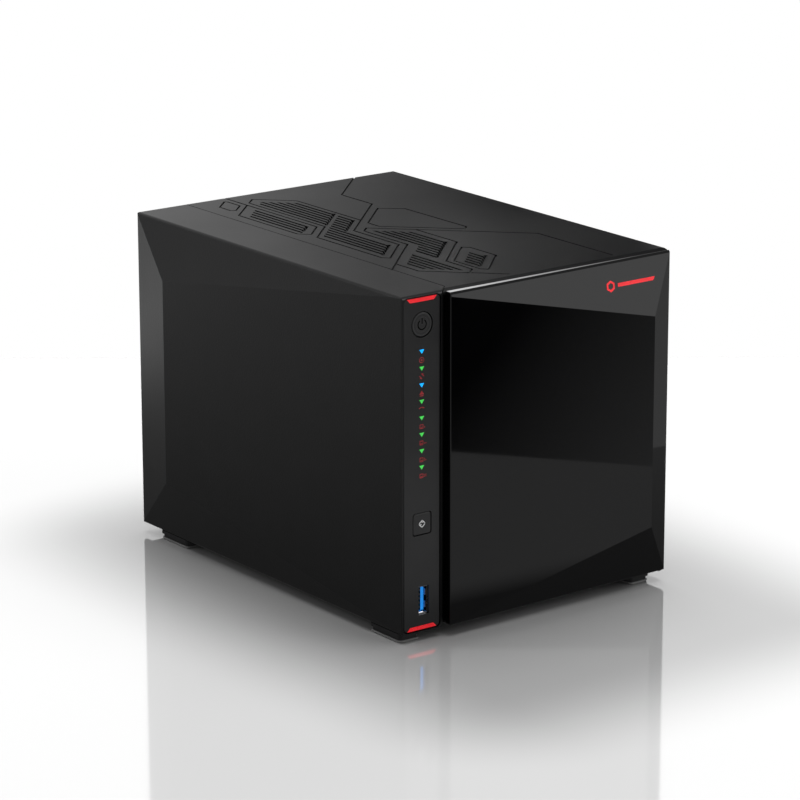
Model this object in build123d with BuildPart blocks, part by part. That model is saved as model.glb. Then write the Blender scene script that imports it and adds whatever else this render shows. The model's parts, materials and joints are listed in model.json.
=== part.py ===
from build123d import *
import os

os.makedirs("parts", exist_ok=True)

# A four-bay desktop network storage enclosure. Millimetres. +X is to the right seen from the
# front, the front faces -Y and +Z is up. The origin is on the table, under the case's centre.

# ---- Case ----
edge_half_width = 81.5      # at the front, rear, top and bottom edges of the faceted sides
crest_half_width = 87.0     # at the upright crest of each side
case_front = -109.0
case_rear = 115.0
case_bottom = 4.6
case_top = 170.0
crest_y = 84.0
crest_low = 34.4
crest_high = 140.5
wall = 2.5
edge_radius = 1.5
front_edge_radius = 0.8
shell_front = -108.4        # where the main shell's rim stops, round the back of the door
seam_x = -51.9              # parting line between the two shells
seam_gap = 0.5

# ---- Control strip ----
strip_right = -57.75
panel_left, panel_right = -80.2, -58.9
panel_low, panel_high = 5.4, 168.7
panel_gap = 0.45
panel_back = -106.6
light_x = -69.7
power_z = 155.4
copy_centre = (-69.4, 58.2)
blue_light_z = (142.4, 126.1)
green_light_z = (134.2, 118.1, 110.1, 102.0, 94.0, 86.0)
front_usb_centre = (-68.3, 20.0)

# ---- Door ----
door_left, door_right = -55.6, 81.5
door_low, door_high = 5.5, 169.2
door_back = -107.0
rebate_front = -108.7       # the door's back steps in here, to sit inside the shell's rim
rebate_top, rebate_right = 167.2, 78.7
pocket_margin = 3.4
door_left_front = -112.8
door_crest = (68.4, -115.0)
door_crest_low, door_crest_high = 31.4, 139.0
door_right_front = -110.0

# ---- Drive bays ----
bay_count = 4
bay_pitch = 32.4
first_bay_x = -35.8
cage_left, cage_right = -53.0, 79.0
cage_low, cage_high = 20.0, 156.0
cage_front, cage_rear = -100.0, 58.0
sheet = 1.2
drive_size = (26.1, 147.0, 101.6)
drive_front = -92.0
bay_middle_z = 88.0

# ---- Rear ----
panel_face_y = 112.2        # outer face of the rear metal panel
fan_centre = (13.0, 88.0)
fan_width, fan_depth = 120.0, 25.0
fan_front = 85.8
fan_screw_pitch = 105.0
port_x = -68.4              # middle of the jacks that stand on the upright mainboard
board_x = -76.8             # left face of the mainboard
board_thickness = 1.6
network_z = (96.0, 78.0)
rear_usb_z = (135.0, 117.0)
hdmi_z = 151.0
dc_z = 42.0
reset_z = 60.0

bay_xs = [first_bay_x + k * bay_pitch for k in range(bay_count)]


def facing_front(y):
    """A sketch plane at depth y that faces the front: X stays X, and its Y is the height Z."""
    return Plane.XZ.offset(-y)


def block(low, high, mode=Mode.ADD):
    """A rectangular block between two opposite corners."""
    middle = tuple((a + b) / 2 for a, b in zip(low, high))
    with Locations(middle):
        Box(*(b - a for a, b in zip(low, high)), mode=mode)


def outline(points):
    """A closed face with straight sides in the current sketch."""
    with BuildLine() as boundary:
        Polyline(*points, close=True)
    make_face(boundary.edges())


def finish(part, name):
    part.label = name
    export_step(part, f"parts/{name}.step")


# =====================================================================================
# Case: a faceted block, hollowed and parted into a left shell and a main shell
# =====================================================================================

def plan_points(inset, front, rear):
    near, crest = edge_half_width - inset, crest_half_width - inset
    right = [(near, front), (crest, crest_y), (near, case_rear), (near, rear)]
    return right + [(-x, y) for x, y in reversed(right)]


def front_points(inset, low, high):
    near, crest = edge_half_width - inset, crest_half_width - inset
    right = [(near, low), (near, case_bottom), (crest, crest_low), (crest, crest_high),
             (near, high)]
    return right + [(-x, z) for x, z in reversed(right)]


def case_edge_corners(sketch):
    return sketch.vertices().filter_by(lambda v: abs(abs(v.X) - edge_half_width) < 0.01)


# Three prisms meet in the block: its plan, its front view and its side view, each with rounded
# corners.
with BuildPart() as case_block:
    near, crest = edge_half_width, crest_half_width
    with BuildSketch(Plane.XY.offset(case_bottom)) as plan:
        outline([(-near, case_front), (near, case_front), (crest, crest_y), (near, case_rear),
                 (-near, case_rear), (-crest, crest_y)])
        fillet(case_edge_corners(plan).filter_by(lambda v: v.Y > 0), radius=edge_radius)
        fillet(case_edge_corners(plan).filter_by(lambda v: v.Y < 0), radius=front_edge_radius)
    extrude(amount=case_top - case_bottom)
    with BuildSketch(facing_front(case_rear)) as front_view:
        outline([(-near, case_bottom), (near, case_bottom), (crest, crest_low), (crest, crest_high),
                 (near, case_top), (-near, case_top), (-crest, crest_high), (-crest, crest_low)])
        fillet(case_edge_corners(front_view), radius=edge_radius)
    extrude(amount=case_rear - case_front, mode=Mode.INTERSECT)
    with BuildSketch(Plane.YZ.offset(-crest)) as side_view:
        with Locations(((case_front + case_rear) / 2, (case_bottom + case_top) / 2)):
            RectangleRounded(case_rear - case_front, case_top - case_bottom, edge_radius)
    extrude(amount=2 * crest, mode=Mode.INTERSECT)

# The space inside, open below and behind. The main shell is open in front too.
with BuildPart() as case_space:
    with BuildSketch(Plane.XY):
        outline(plan_points(wall, -130.0, 130.0))
    extrude(amount=case_top - wall)
    with BuildSketch(facing_front(130.0)):
        outline(front_points(wall, 0.0, case_top - wall))
    extrude(amount=260.0, mode=Mode.INTERSECT)

# ---- Relief lines and vent slots in the top ----
line_width = 1.0
line_depth = 0.8
slot_width = 1.5
slot_depth = 1.6

relief_closed = [
    [(-42, 98), (-33, 107), (-31.9, 106), (-31.9, 94.6), (-39.6, 86.8), (-42, 88.5)],
    [(-2.7, 14.2), (-2.7, 23.6), (21, 47.3), (31.5, 38.2), (31.5, -12.5), (28.0, -16.0)],
    [(-17.6, -66.3), (2.6, -46.1), (5.6, -49.1), (5.6, -69.3), (-14.6, -89.5), (-17.6, -86.5)],
]
relief_open = [
    [(-28.2, 116), (-28.2, 32.2), (-40.0, 20.4)],
    [(-40.0, 20.4), (-44.9, 25.3), (-44.9, 76.6), (-28.4, 93.1)],
    [(-24.6, 30.2), (-24.6, 96.8), (-18.4, 103.0), (-2.0, 86.6), (-2.0, 30.6)],
    [(57, 116), (24.6, 83.6), (24.6, 57.2), (-18.5, 14.1), (-18.5, -23.1), (-38.5, -43.1),
     (-41.5, -40.1), (-41.5, 13.3), (-24.6, 30.2)],
    [(-52.5, -63), (-14.9, -25.4), (-14.9, 10.4), (-10.0, 15.3), (50.8, -45.5), (50.8, -103.5)],
    [(7.6, -2.3), (7.6, -35.8), (-20.9, -64.3), (-20.9, -84.3), (-26.2, -89.6)],
    [(-43.7, -54.2), (-43.7, -72.1), (-12.8, -103.0)],
]

# Each vent: first slot's X, pitch, count, and its two ends as straight lines y = slope * x + offset
slot_pitch = 3.1
vents = [
    (-41.3, 4, (1, 67.5), (1, 113.0)),
    (-21.2, 1, (1, 54.7), (1, 113.0)),
    (-18.1, 5, (1, 54.7), (-1, 77.0)),
    (-36.8, 5, (1, 1.9), (1, 51.0)),
    (-21.3, 6, (1, 38.0), (1, 51.0)),
    (-10.5, 5, (1, -35.8), (-1, -2.6)),
    (-19.8, 3, (1, -35.8), (1, -18.6)),
    (-38.8, 5, (-1, -109.6), (1, -17.8)),
    (-13.9, 5, (1, -67.9), (1, -55.6)),
]
# The bevelled lower rims of the vents, which run at 45 degrees: from, to
vent_rims = [
    ((-22.6, 32.1), (-4.0, 50.7)),
    ((-22.6, 15.4), (-5.0, 33.0)),
    ((-38.0, -36.1), (-22.6, -20.7)),
    ((-20.2, -56.0), (3.6, -32.2)),
    ((-14.8, -82.7), (1.4, -66.5)),
    ((-39.4, 28.1), (-31.6, 35.9)),
]


def slot_outline(x, lower, upper):
    left, right = x - slot_width / 2, x + slot_width / 2
    ends = [(side, line[0] * side + line[1]) for line, side in
            ((lower, left), (lower, right), (upper, right), (upper, left))]
    outline(ends)


with BuildPart() as top_relief:
    with BuildSketch(Plane.XY.offset(case_top - line_depth)):
        for points in relief_closed:
            with BuildLine():
                Polyline(*points, close=True)
            trace(line_width=line_width)
        for points in relief_open:
            with BuildLine():
                Polyline(*points)
            trace(line_width=line_width)
    extrude(amount=line_depth + 1)
    with BuildSketch(Plane.XY.offset(case_top - slot_depth)):
        for first_x, count, lower, upper in vents:
            for k in range(count):
                slot_outline(first_x + k * slot_pitch, lower, upper)
    extrude(amount=slot_depth + 1)
    for start, end in vent_rims:
        along = Vector(*end) - Vector(*start)
        with BuildSketch(Plane(origin=(*start, case_top), x_dir=(0, 0, 1), z_dir=along)):
            Rectangle(1.3, 1.3, rotation=45)
        extrude(amount=along.length)

# ---- Left shell: left side, a strip of the top, and the front frame of the control strip ----
seam_left = seam_x - seam_gap / 2
seam_right = seam_x + seam_gap / 2
seam_turn_y = -103.2        # in front of this the seam runs at 45 degrees
base_low, base_high = case_bottom, case_bottom + 2.4

with BuildPart() as left_shell:
    add(case_block.part)
    add(case_space.part, mode=Mode.SUBTRACT)
    with BuildSketch(Plane.XY):
        reach = seam_turn_y - case_front
        outline([(-100, case_front), (seam_left - reach, case_front), (seam_left, seam_turn_y),
                 (seam_left, case_rear), (-100, case_rear)])
    extrude(amount=200, mode=Mode.INTERSECT)
    # front wall and the return wall beside the door
    with BuildSketch(facing_front(case_front + wall)):
        with Locations(((-79.5 + strip_right) / 2, (case_bottom + 168.0) / 2)):
            Rectangle(strip_right + 79.5, 168.0 - case_bottom)
    extrude(amount=wall)
    block((strip_right - 1.4, case_front + wall, base_high + 0.3), (strip_right, -98.0, 168.0))
    with BuildSketch(Plane.XY):
        outline([(strip_right - 0.4, case_front - 1), (strip_right - 0.4, case_front),
                 (strip_right, case_front + 0.4), (strip_right + 1, case_front + 0.4),
                 (strip_right + 1, case_front - 1)])
    extrude(amount=168.0, mode=Mode.SUBTRACT)
    # opening for the control panel
    with BuildSketch(facing_front(-100)):
        with Locations(((panel_left + panel_right) / 2, (panel_low + panel_high) / 2)):
            RectangleRounded(panel_right - panel_left + 2 * panel_gap,
                             panel_high - panel_low + 2 * panel_gap, 2.2 + panel_gap)
    extrude(amount=12, mode=Mode.SUBTRACT)
    add(top_relief.part, mode=Mode.SUBTRACT)
finish(left_shell.part, "left_shell")

# ---- Main shell: the rest of the top and the right side, with a bevelled front rim ----
with BuildPart() as main_shell:
    add(case_block.part)
    add(case_space.part, mode=Mode.SUBTRACT)
    with BuildSketch(Plane.XY):
        reach = seam_turn_y - shell_front
        outline([(seam_right - reach, shell_front), (seam_right, seam_turn_y), (seam_right, case_rear),
                 (100, case_rear), (100, shell_front)])
    extrude(amount=200, mode=Mode.INTERSECT)
    # front rim, bevelled at the top and on the right
    with BuildSketch(Plane.YZ.offset(-60)):
        outline([(shell_front - 1, case_top + 1), (shell_front - 1, case_top - 1.4),
                 (shell_front, case_top - 1.2), (shell_front + 2.6, case_top),
                 (shell_front + 2.6, case_top + 1)])
    extrude(amount=160, mode=Mode.SUBTRACT)
    add(top_relief.part, mode=Mode.SUBTRACT)
finish(main_shell.part, "main_shell")

# ---- Base plate with vent slots ----
with BuildPart() as base_plate:
    with BuildSketch(Plane.XY.offset(base_low)):
        with Locations((-0.2, 3.0)):
            Rectangle(157.2, 215.4)
    extrude(amount=base_high - base_low)
    with BuildSketch(Plane.XY.offset(base_low)):
        with GridLocations(9.0, 60.0, 12, 2):
            SlotOverall(44, 3.2, rotation=90)
    extrude(amount=base_high - base_low, mode=Mode.SUBTRACT)
finish(base_plate.part, "base_plate")

# ---- Feet: a stepped boss and a rubber pad under each ----
foot_centres = [(-74.9, -94.5), (68.5, -94.5), (-74.9, 86.8), (68.5, 86.8)]
foot_width, foot_length = 12.6, 24.4
boss_step_z = 2.9
boss_step = 0.9             # how far the lower part of the boss is set in
pad_height = 1.0
pad_rim = 0.5               # how far the pad stands out past the boss above it

with BuildPart() as foot_bosses:
    with BuildSketch(Plane.XY.offset(boss_step_z)):
        with Locations(*foot_centres):
            RectangleRounded(foot_width, foot_length, 2.0)
    extrude(amount=case_bottom - boss_step_z)
    with BuildSketch(Plane.XY.offset(pad_height)):
        with Locations(*foot_centres):
            RectangleRounded(foot_width - 2 * boss_step, foot_length - 2 * boss_step, 1.6)
    extrude(amount=boss_step_z - pad_height)
finish(foot_bosses.part, "foot_bosses")

with BuildPart() as foot_pads:
    pad_inset = 2 * (boss_step - pad_rim)
    with BuildSketch(Plane.XY):
        with Locations(*foot_centres):
            RectangleRounded(foot_width - pad_inset, foot_length - pad_inset, 1.8)
    extrude(amount=pad_height)
    chamfer(foot_pads.edges().group_by(Axis.Z)[0], length=0.3)
finish(foot_pads.part, "foot_pads")

# =====================================================================================
# Control strip
# =====================================================================================
panel_middle = ((panel_left + panel_right) / 2, (panel_low + panel_high) / 2)
power_radius = 5.9
copy_size = 10.4
hole_gap = 0.4
light_width, light_height = 2.7, 1.9
accent_ends = (-78.2, -61.0)
accent_slant = 1.7
accent_margin, accent_height = 0.3, 1.8
accent_seat = 0.1
accent_depth = 0.9


def light_outline(z, grow=0.0):
    """A small triangle that points down."""
    half = light_width / 2 + grow
    top = z + light_height / 2 + grow
    outline([(light_x - half, top), (light_x + half, top), (light_x, z - light_height / 2 - grow)])


def accent_outline(outer_z, inner_z, grow=0.0):
    """A flat trapezoid whose long side is nearest the case's edge."""
    left, right = accent_ends
    outline([(left - grow, outer_z), (right + grow, outer_z),
             (right - accent_slant + grow, inner_z), (left + accent_slant - grow, inner_z)])


with BuildPart() as control_panel:
    with BuildSketch(facing_front(panel_back)):
        with Locations(panel_middle):
            RectangleRounded(panel_right - panel_left, panel_high - panel_low, 2.2)
    extrude(amount=panel_back - case_front - 0.1)
    chamfer(control_panel.faces().sort_by(Axis.Y)[0].edges(), length=0.35)
    with BuildSketch(facing_front(panel_back + 1)):
        with Locations((light_x + 0.3, power_z)):
            Circle(power_radius + hole_gap)
        with Locations(copy_centre):
            RectangleRounded(copy_size + 2 * hole_gap, copy_size + 2 * hole_gap, 1.4)
        with Locations(front_usb_centre):
            Rectangle(6.2, 14.2)
        for z in blue_light_z + green_light_z:
            light_outline(z, 0.05)
    extrude(amount=8, mode=Mode.SUBTRACT)
    # shallow seats for the accents
    with BuildSketch(facing_front(case_front + accent_depth)):
        accent_outline(panel_high - accent_margin + accent_seat,
                       panel_high - accent_margin - accent_height - accent_seat, accent_seat)
        accent_outline(panel_low + accent_margin - accent_seat,
                       panel_low + accent_margin + accent_height + accent_seat, accent_seat)
    extrude(amount=3, mode=Mode.SUBTRACT)
finish(control_panel.part, "control_panel")

with BuildPart() as accent_inlays:
    with BuildSketch(facing_front(case_front + accent_depth)):
        accent_outline(panel_high - accent_margin, panel_high - accent_margin - accent_height)
        accent_outline(panel_low + accent_margin, panel_low + accent_margin + accent_height)
    extrude(amount=accent_depth + 0.05)
finish(accent_inlays.part, "accent_inlays")

with BuildPart() as power_button:
    with BuildSketch(facing_front(-104.6)):
        with Locations((light_x + 0.3, power_z)):
            Circle(power_radius)
    extrude(amount=4.2)
    fillet(power_button.edges().group_by(Axis.Y)[0], radius=0.5)
    with BuildSketch(facing_front(-103.4)):
        with Locations((light_x + 0.3, power_z)):
            Circle(2.0)
    extrude(amount=1.2)
finish(power_button.part, "power_button")

with BuildPart() as copy_button:
    with BuildSketch(facing_front(-104.6)):
        with Locations(copy_centre):
            RectangleRounded(copy_size, copy_size, 1.2)
    extrude(amount=4.2)
    fillet(copy_button.edges().group_by(Axis.Y)[0], radius=0.3)
    with BuildSketch(facing_front(-103.4)):
        with Locations(copy_centre):
            Circle(2.0)
    extrude(amount=1.2)
finish(copy_button.part, "copy_button")

light_pipe_back = -101.2
for name, heights in (("status_lights_blue", blue_light_z), ("status_lights_green", green_light_z)):
    with BuildPart() as lights:
        with BuildSketch(facing_front(light_pipe_back)):
            for z in heights:
                light_outline(z)
        extrude(amount=light_pipe_back - case_front + 0.05)
    finish(lights.part, name)

# ---- Front board behind the strip, with the switches that the two buttons press ----
front_board_face = -99.6
port_board_x = -71.5        # right face of the small upright board beside the front port
with BuildPart() as front_board:
    block((-77.5, front_board_face, 34.0), (-60.5, front_board_face + board_thickness, 164.0))
    block((port_board_x - board_thickness, -105.0, 11.0), (port_board_x, -92.0, 36.0))
finish(front_board.part, "front_board")

switch_depth = 2.6
with BuildPart() as tact_switches:
    with BuildSketch(facing_front(front_board_face)):
        with Locations((light_x + 0.3, power_z), copy_centre):
            Rectangle(6.0, 6.0)
    extrude(amount=switch_depth - 0.8)
    with BuildSketch(facing_front(front_board_face - switch_depth + 0.8)):
        with Locations((light_x + 0.3, power_z), copy_centre):
            Circle(1.7)
    extrude(amount=0.6)
    block((board_x + board_thickness, 101.0, reset_z - 3.0), (port_x + 3.0, 105.8, reset_z + 3.0))
finish(tact_switches.part, "tact_switches")

# =====================================================================================
# USB ports: one upright port in the strip and two at the rear
# =====================================================================================
usb_depth = 14.0
usb_width, usb_height, usb_metal = 13.8, 5.8, 0.4
rear_port_face = 112.8
front_port_face = case_front + 1.3


with BuildPart() as usb_shells:
    with BuildSketch(facing_front(front_port_face + usb_depth)):
        with Locations(front_usb_centre):
            RectangleRounded(usb_height, usb_width, 0.6)
    extrude(amount=usb_depth)
    with BuildSketch(facing_front(front_port_face + usb_depth - 1.0)):
        with Locations(front_usb_centre):
            Rectangle(usb_height - 2 * usb_metal, usb_width - 2 * usb_metal)
    extrude(amount=usb_depth, mode=Mode.SUBTRACT)
    rear_usb_centres = [(port_x, z) for z in rear_usb_z]
    with BuildSketch(facing_front(rear_port_face)):
        with Locations(*rear_usb_centres):
            RectangleRounded(usb_height, usb_width, 0.6)
    extrude(amount=usb_depth)
    with BuildSketch(facing_front(rear_port_face + 1.0)):
        with Locations(*rear_usb_centres):
            Rectangle(usb_height - 2 * usb_metal, usb_width - 2 * usb_metal)
    extrude(amount=usb_depth, mode=Mode.SUBTRACT)
finish(usb_shells.part, "usb_shells")

tongue_thickness, tongue_width = 1.7, 11.2
front_tongue_offset, rear_tongue_offset = 0.6, -1.05
with BuildPart() as usb_tongues:
    x, z = front_usb_centre
    with BuildSketch(facing_front(front_port_face + usb_depth - 1.0)):
        with Locations((x + front_tongue_offset, z)):
            Rectangle(tongue_thickness, tongue_width)
    extrude(amount=usb_depth - 2.2)
    with BuildSketch(facing_front(rear_port_face - 1.4)):
        with Locations(*[(port_x + rear_tongue_offset, height) for height in rear_usb_z]):
            Rectangle(tongue_thickness, tongue_width)
    extrude(amount=usb_depth - 2.4)
finish(usb_tongues.part, "usb_tongues")

# =====================================================================================
# Door: a faceted gloss panel on a backing plate, held by magnets
# =====================================================================================
crest_x, crest_front = door_crest
upper_edge = Vector(door_left, door_left_front, door_high - 1.8)
lower_edge = Vector(door_left, door_left_front, door_low + 0.4)
crest_top = Vector(crest_x, crest_front, door_crest_high)
crest_foot = Vector(crest_x, crest_front, door_crest_low)
corner_top = Vector(door_right, door_right_front, door_high)
corner_foot = Vector(door_right, door_right_front, door_low)

door_bevel = 0.6            # depth of the narrow bevel along the door's top edge


def facet_normal(edge_point, crest_point, corner_point):
    """The direction in which a facet of the door faces, which is always to the front."""
    normal = (crest_point - edge_point).cross(corner_point - edge_point).normalized()
    return normal if normal.Y < 0 else -normal


with BuildPart() as door_panel:
    with BuildSketch(Plane.XY.offset(door_low)):
        outline([(door_left, door_back), (door_left, door_left_front), (crest_x, crest_front),
                 (door_right, door_right_front), (door_right, door_back)])
    extrude(amount=door_high - door_low)
    # the upper and lower facets fall away from the crest to the corners
    for edge_point, crest_point, corner_point in (
            (upper_edge, crest_top, corner_top), (lower_edge, crest_foot, corner_foot)):
        normal = facet_normal(edge_point, crest_point, corner_point)
        split(bisect_by=Plane(origin=edge_point, z_dir=normal), keep=Keep.BOTTOM)
    # the outline's front edges are rounded, the facets' edges are left crisp
    rim_edges = door_panel.edges().filter_by(
        lambda e: e.center().Y < -108.5 and (
            e.center().Z > door_high - 1.0 or e.center().Z < door_low + 0.5
            or abs(e.center().X - door_left) < 0.01 or abs(e.center().X - door_right) < 0.01))
    fillet(rim_edges, radius=0.5)
    # a narrow bevel takes off the top edge
    upper_normal = facet_normal(upper_edge, crest_top, corner_top)
    top_left_y = upper_edge.Y - upper_normal.Z * (door_high - upper_edge.Z) / upper_normal.Y
    top_left = Vector(door_left, top_left_y, door_high)
    bevel_normal = (corner_top - top_left).cross(Vector(0, 1, 1)).normalized()
    if bevel_normal.Z < 0:
        bevel_normal = -bevel_normal
    split(bisect_by=Plane(origin=top_left - bevel_normal * door_bevel, z_dir=bevel_normal),
          keep=Keep.BOTTOM)
    # pocket for the backing plate
    with BuildSketch(facing_front(door_back)):
        with Locations(((door_left + door_right) / 2, (door_low + door_high) / 2)):
            Rectangle(door_right - door_left - 2 * pocket_margin, door_high - door_low - 2 * pocket_margin)
    extrude(amount=1.8, mode=Mode.SUBTRACT)
    # rebate along the top and the right
    block((door_left - 1, rebate_front, rebate_top), (door_right + 1, door_back + 1, door_high + 1),
          mode=Mode.SUBTRACT)
    block((rebate_right, rebate_front, door_low - 1), (door_right + 1, door_back + 1, door_high + 1),
          mode=Mode.SUBTRACT)
finish(door_panel.part, "door_panel")

magnet_places = [(x, z) for x in (-49.0, 74.2) for z in (14.0, 161.6)]
magnet_radius = 3.0
backing_margin = pocket_margin + 0.3
with BuildPart() as door_backing:
    with BuildSketch(facing_front(door_back - 0.1)):
        with Locations(((door_left + door_right) / 2, (door_low + door_high) / 2)):
            Rectangle(door_right - door_left - 2 * backing_margin,
                      door_high - door_low - 2 * backing_margin)
        with Locations(*magnet_places):
            Circle(magnet_radius + 0.1, mode=Mode.SUBTRACT)
    extrude(amount=1.7)
finish(door_backing.part, "door_backing")

with BuildPart() as door_magnets:
    with BuildSketch(facing_front(door_back - 0.1)):
        with Locations(*magnet_places):
            Circle(magnet_radius)
    extrude(amount=1.7)
finish(door_magnets.part, "door_magnets")

# ---- Front bezel behind the door, with catch plates for the magnets ----
bezel_front, bezel_back = -106.6, -100.4
bay_opening_left, bay_opening_right = cage_left + sheet, cage_right - sheet
bay_opening_low, bay_opening_high = cage_low + sheet, cage_high - sheet
with BuildPart() as front_bezel:
    block((-56.1, bezel_front, base_high + 0.3), (78.7, bezel_back, 167.2))
    block((bay_opening_left, bezel_front - 1, bay_opening_low),
          (bay_opening_right, bezel_back + 1, bay_opening_high), mode=Mode.SUBTRACT)
    with BuildSketch(facing_front(bezel_front + 1.2)):
        with Locations(*magnet_places):
            Circle(magnet_radius + 0.1)
    extrude(amount=2, mode=Mode.SUBTRACT)
finish(front_bezel.part, "front_bezel")

with BuildPart() as catch_plates:
    with BuildSketch(facing_front(bezel_front + 1.2)):
        with Locations(*magnet_places):
            Circle(magnet_radius)
    extrude(amount=1.2)
finish(catch_plates.part, "catch_plates")

# =====================================================================================
# Drive cage, guides and trays
# =====================================================================================
with BuildPart() as drive_cage:
    block((cage_left, cage_front, cage_low), (cage_right - 0.6, cage_rear, cage_high))
    block((cage_left + sheet, cage_front - 1, cage_low + sheet),
          (cage_right - 0.6 - sheet, cage_rear + 1, cage_high - sheet), mode=Mode.SUBTRACT)
    # cooling windows in both sides
    with BuildSketch(Plane.YZ.offset(cage_left - 1)):
        with Locations((-20, bay_middle_z)):
            with GridLocations(34, 30, 4, 3):
                SlotOverall(26, 8)
    extrude(amount=cage_right - cage_left + 2, mode=Mode.SUBTRACT)
finish(drive_cage.part, "drive_cage")

rail_width, rail_height = 1.2, 4.0
with BuildPart() as guide_rails:
    for left_bay in bay_xs[:-1]:
        x = left_bay + bay_pitch / 2
        for low in (cage_low + sheet, cage_high - sheet - rail_height):
            block((x - rail_width / 2, cage_front + 2, low),
                  (x + rail_width / 2, cage_rear - 8, low + rail_height))
finish(guide_rails.part, "guide_rails")

tray_half_width = 15.2
tray_low, tray_high = 21.6, 154.4
tray_rear = 54.0
tray_front_back = -98.0
tray_front_face = -104.6
front_half_width = 15.5
front_low, front_high = 21.7, 154.3
lever_low, lever_high = 44.0, 147.6
lever_half_width = 6.0
lever_pivot_y, lever_pivot_z = -101.6, 146.0
lever_barrel = 1.8
trunnion_radius, trunnion_reach, trunnion_gap = 1.0, 7.8, 0.08
button_z = 34.0
drive_left = -12.9          # from the bay's middle
drive_low = bay_middle_z - drive_size[2] / 2
drive_high = bay_middle_z + drive_size[2] / 2
drive_rear = drive_front + drive_size[1]

for number, bay_x in enumerate(bay_xs, start=1):
    # sled: an upright side plate between two box arms that hold the drive by its edges
    with BuildPart() as tray_sled:
        left = bay_x - tray_half_width
        block((left, tray_front_back, tray_low), (left + 1.4, tray_rear, tray_high))
        for low, high in ((tray_low, drive_low - 0.3), (drive_high + 0.3, tray_high)):
            block((left, tray_front_back, low), (left + 28.6, tray_rear, high))
            block((left + 1.4, tray_front_back + 2, low + 1.6), (left + 30, tray_rear - 2, high - 1.6),
                  mode=Mode.SUBTRACT)
        block((left, tray_front_back, tray_low), (left + 28.6, tray_front_back + 1.4, tray_high))
        with BuildSketch(Plane.YZ.offset(left - 1)):
            with Locations((-20, bay_middle_z)):
                with GridLocations(34, 30, 4, 3):
                    SlotOverall(26, 8)
        extrude(amount=3, mode=Mode.SUBTRACT)
    finish(tray_sled.part, f"tray_sled_{number}")

    # front plate with an upright recess for the lever and a hole for the release button
    with BuildPart() as tray_front:
        block((bay_x - front_half_width, tray_front_face, front_low),
              (bay_x + front_half_width, tray_front_back, front_high))
        chamfer(tray_front.faces().sort_by(Axis.Y)[0].edges(), length=0.8)
        block((bay_x - lever_half_width - 0.4, tray_front_face - 1, lever_low - 0.6),
              (bay_x + lever_half_width + 0.4, tray_front_back - 1.4, lever_high + 2.6), mode=Mode.SUBTRACT)
        with BuildSketch(Plane.YZ.offset(bay_x - trunnion_reach - 0.2)):
            with Locations((lever_pivot_y, lever_pivot_z)):
                Circle(trunnion_radius + trunnion_gap)
        extrude(amount=2 * trunnion_reach + 0.4, mode=Mode.SUBTRACT)
        with BuildSketch(facing_front(tray_front_back + 1)):
            with Locations((bay_x, button_z)):
                RectangleRounded(10.6, 8.6, 1.5)
        extrude(amount=10, mode=Mode.SUBTRACT)
        # cooling slots either side of the lever
        with BuildSketch(facing_front(tray_front_back + 1)):
            for side in (-1, 1):
                with Locations((bay_x + side * 11.4, bay_middle_z)):
                    with GridLocations(5, 9.0, 1, 11):
                        SlotOverall(5.4, 3.0)
        extrude(amount=10, mode=Mode.SUBTRACT)
    finish(tray_front.part, f"tray_front_{number}")

    with BuildPart() as tray_latch:
        with BuildSketch(Plane.YZ.offset(bay_x - lever_half_width)):
            outline([(tray_front_face + 0.2, lever_low), (tray_front_face + 2.8, lever_low + 0.8),
                     (tray_front_face + 2.8, lever_high - 0.6), (tray_front_face + 0.2, lever_high)])
            with Locations((lever_pivot_y, lever_pivot_z)):
                Circle(lever_barrel)
        extrude(amount=2 * lever_half_width)
        # a trunnion at each end of the barrel
        with BuildSketch(Plane.YZ.offset(bay_x - trunnion_reach)):
            with Locations((lever_pivot_y, lever_pivot_z)):
                Circle(trunnion_radius)
        extrude(amount=2 * trunnion_reach)
    finish(tray_latch.part, f"tray_latch_{number}")

    with BuildPart() as tray_button:
        with BuildSketch(facing_front(tray_front_back - 1.4)):
            with Locations((bay_x, button_z)):
                RectangleRounded(10.2, 8.2, 1.3)
        extrude(amount=4.7)
        fillet(tray_button.edges().group_by(Axis.Y)[0], radius=0.4)
    finish(tray_button.part, f"tray_button_{number}")

    # 3.5 inch drive: a casting with a pocket, its cover and its circuit board
    with BuildPart() as hard_drive:
        depth, length, height = drive_size
        left = bay_x + drive_left
        board_left = left + 1.8
        block((board_left, drive_front, drive_low), (left + depth - 1.4, drive_front + length, drive_high))
        block((board_left + 4, drive_front + 4, drive_low + 4),
              (left + depth, drive_front + length - 22, drive_high - 4), mode=Mode.SUBTRACT)
        block((left + depth - 1.4, drive_front + 1, drive_low + 1),
              (left + depth, drive_front + length - 18, drive_high - 1))
        block((left, drive_front + 60, drive_low + 6),
              (board_left, drive_front + length - 4, drive_high - 6))
    finish(hard_drive.part, f"hard_drive_{number}")

# ---- Backplane: upright board with one drive connector per bay and wide air windows ----
backplane_front = 59.8
with BuildPart() as sata_connectors:
    for bay_x in bay_xs:
        connector_x = bay_x + drive_left + 3.4
        block((connector_x - 2.6, drive_rear + 0.3, 64.0), (connector_x + 2.6, backplane_front, 106.0))
        block((connector_x - 0.6, drive_rear - 1, 66.0), (connector_x + 0.6, 57.0, 104.0),
              mode=Mode.SUBTRACT)
finish(sata_connectors.part, "sata_connectors")

with BuildPart() as backplane_board:
    block((-51.0, backplane_front, 24.0), (77.0, backplane_front + board_thickness, 152.0))
    for bay_x in bay_xs:
        for low, high in ((34.0, 60.0), (110.0, 142.0)):
            block((bay_x - 5, backplane_front - 1, low), (bay_x + 12, backplane_front + 3, high),
                  mode=Mode.SUBTRACT)
finish(backplane_board.part, "backplane_board")

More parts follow.
